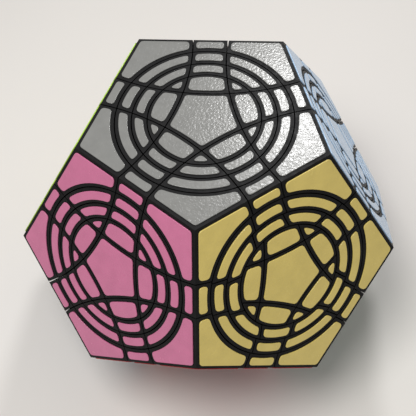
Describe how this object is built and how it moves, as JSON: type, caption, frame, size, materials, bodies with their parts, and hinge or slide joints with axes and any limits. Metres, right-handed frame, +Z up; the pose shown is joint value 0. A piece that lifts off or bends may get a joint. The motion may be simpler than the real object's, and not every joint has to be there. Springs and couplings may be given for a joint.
{
  "type": "dodecahedron twisty puzzle",
  "caption": "Twelve-sided twisty puzzle with coloured tiles on black pieces; each face has a centre, a disc and two rings, and three faces turn with their rings.",
  "frame": {"origin": "middle of the white face it rests on", "axes": "+Z is up, out of the gray face; -Y points to the edge shared by the two front upper faces, pink on the -X side and khaki on the +X side"},
  "size_m": [0.0988, 0.1038, 0.0846],
  "materials": {
    "black_plastic": "satin moulded black plastic",
    "core_plastic": "plain moulded plastic",
    "steel": "plated steel",
    "gray_tile": "gray plastic tile with a fine grain",
    "orange_tile": "orange plastic tile with a fine grain",
    "lime_tile": "lime plastic tile with a fine grain",
    "pink_tile": "pink plastic tile with a fine grain",
    "khaki_tile": "khaki plastic tile with a fine grain",
    "blue_tile": "blue plastic tile with a fine grain",
    "yellow_tile": "yellow plastic tile with a fine grain",
    "navy_tile": "navy plastic tile with a fine grain",
    "red_tile": "red plastic tile with a fine grain",
    "green_tile": "green plastic tile with a fine grain",
    "purple_tile": "purple plastic tile with a fine grain",
    "white_tile": "white plastic tile with a fine grain"
  },
  "bodies": {
    "frame_and_fixed_faces": {"core": "core_plastic", "screws": "steel", "washers": "steel", "springs": "steel", "fixed_corners": "black_plastic", "fixed_edges": "black_plastic", "fixed_ring_pieces": "black_plastic", "fixed_centre_hubs": "black_plastic", "fixed_centre_caps": "black_plastic", "fixed_gray_tiles": "gray_tile", "fixed_lime_tiles": "lime_tile", "fixed_pink_tiles": "pink_tile", "fixed_blue_tiles": "blue_tile", "fixed_yellow_tiles": "yellow_tile", "fixed_red_tiles": "red_tile", "fixed_green_tiles": "green_tile", "fixed_purple_tiles": "purple_tile", "fixed_white_tiles": "white_tile"},
    "khaki_layer": {"khaki_layer_outer_pieces": "black_plastic", "khaki_layer_side_pieces": "black_plastic", "khaki_layer_khaki_tiles": "khaki_tile", "khaki_layer_gray_tiles": "gray_tile", "khaki_layer_pink_tiles": "pink_tile", "khaki_layer_blue_tiles": "blue_tile", "khaki_layer_red_tiles": "red_tile", "khaki_layer_green_tiles": "green_tile"},
    "khaki_outer_ring": {"khaki_outer_ring": "black_plastic", "khaki_outer_ring_tiles": "khaki_tile"},
    "khaki_inner_ring": {"khaki_inner_ring": "black_plastic", "khaki_inner_ring_tiles": "khaki_tile"},
    "khaki_disc": {"khaki_disc": "black_plastic", "khaki_disc_tiles": "khaki_tile"},
    "orange_layer": {"orange_layer_outer_pieces": "black_plastic", "orange_layer_side_pieces": "black_plastic", "orange_layer_orange_tiles": "orange_tile", "orange_layer_gray_tiles": "gray_tile", "orange_layer_lime_tiles": "lime_tile", "orange_layer_blue_tiles": "blue_tile", "orange_layer_yellow_tiles": "yellow_tile", "orange_layer_purple_tiles": "purple_tile"},
    "orange_outer_ring": {"orange_outer_ring": "black_plastic", "orange_outer_ring_tiles": "orange_tile"},
    "orange_inner_ring": {"orange_inner_ring": "black_plastic", "orange_inner_ring_tiles": "orange_tile"},
    "orange_disc": {"orange_disc": "black_plastic", "orange_disc_tiles": "orange_tile"},
    "navy_layer": {"navy_layer_outer_pieces": "black_plastic", "navy_layer_side_pieces": "black_plastic", "navy_layer_navy_tiles": "navy_tile", "navy_layer_lime_tiles": "lime_tile", "navy_layer_pink_tiles": "pink_tile", "navy_layer_yellow_tiles": "yellow_tile", "navy_layer_red_tiles": "red_tile", "navy_layer_white_tiles": "white_tile"},
    "navy_outer_ring": {"navy_outer_ring": "black_plastic", "navy_outer_ring_tiles": "navy_tile"},
    "navy_inner_ring": {"navy_inner_ring": "black_plastic", "navy_inner_ring_tiles": "navy_tile"},
    "navy_disc": {"navy_disc": "black_plastic", "navy_disc_tiles": "navy_tile"}
  },
  "joints": [
    {"name": "khaki_layer_turn", "type": "hinge", "parent": "frame_and_fixed_faces", "child": "khaki_layer", "pos_m": [0, 0, 0.04231], "axis": [0.5257, -0.7236, 0.4472], "continuous": true},
    {"name": "khaki_outer_ring_turn", "type": "hinge", "parent": "khaki_layer", "child": "khaki_outer_ring", "pos_m": [0, 0, 0.04231], "axis": [0.5257, -0.7236, 0.4472], "continuous": true},
    {"name": "khaki_inner_ring_turn", "type": "hinge", "parent": "khaki_outer_ring", "child": "khaki_inner_ring", "pos_m": [0, 0, 0.04231], "axis": [0.5257, -0.7236, 0.4472], "continuous": true},
    {"name": "khaki_disc_turn", "type": "hinge", "parent": "khaki_inner_ring", "child": "khaki_disc", "pos_m": [0, 0, 0.04231], "axis": [0.5257, -0.7236, 0.4472], "continuous": true},
    {"name": "orange_layer_turn", "type": "hinge", "parent": "frame_and_fixed_faces", "child": "orange_layer", "pos_m": [0, 0, 0.04231], "axis": [0, 0.8944, 0.4472], "continuous": true},
    {"name": "orange_outer_ring_turn", "type": "hinge", "parent": "orange_layer", "child": "orange_outer_ring", "pos_m": [0, 0, 0.04231], "axis": [0, 0.8944, 0.4472], "continuous": true},
    {"name": "orange_inner_ring_turn", "type": "hinge", "parent": "orange_outer_ring", "child": "orange_inner_ring", "pos_m": [0, 0, 0.04231], "axis": [0, 0.8944, 0.4472], "continuous": true},
    {"name": "orange_disc_turn", "type": "hinge", "parent": "orange_inner_ring", "child": "orange_disc", "pos_m": [0, 0, 0.04231], "axis": [0, 0.8944, 0.4472], "continuous": true},
    {"name": "navy_layer_turn", "type": "hinge", "parent": "frame_and_fixed_faces", "child": "navy_layer", "pos_m": [0, 0, 0.04231], "axis": [-0.8507, -0.2764, -0.4472], "continuous": true},
    {"name": "navy_outer_ring_turn", "type": "hinge", "parent": "navy_layer", "child": "navy_outer_ring", "pos_m": [0, 0, 0.04231], "axis": [-0.8507, -0.2764, -0.4472], "continuous": true},
    {"name": "navy_inner_ring_turn", "type": "hinge", "parent": "navy_outer_ring", "child": "navy_inner_ring", "pos_m": [0, 0, 0.04231], "axis": [-0.8507, -0.2764, -0.4472], "continuous": true},
    {"name": "navy_disc_turn", "type": "hinge", "parent": "navy_inner_ring", "child": "navy_disc", "pos_m": [0, 0, 0.04231], "axis": [-0.8507, -0.2764, -0.4472], "continuous": true}
  ]
}
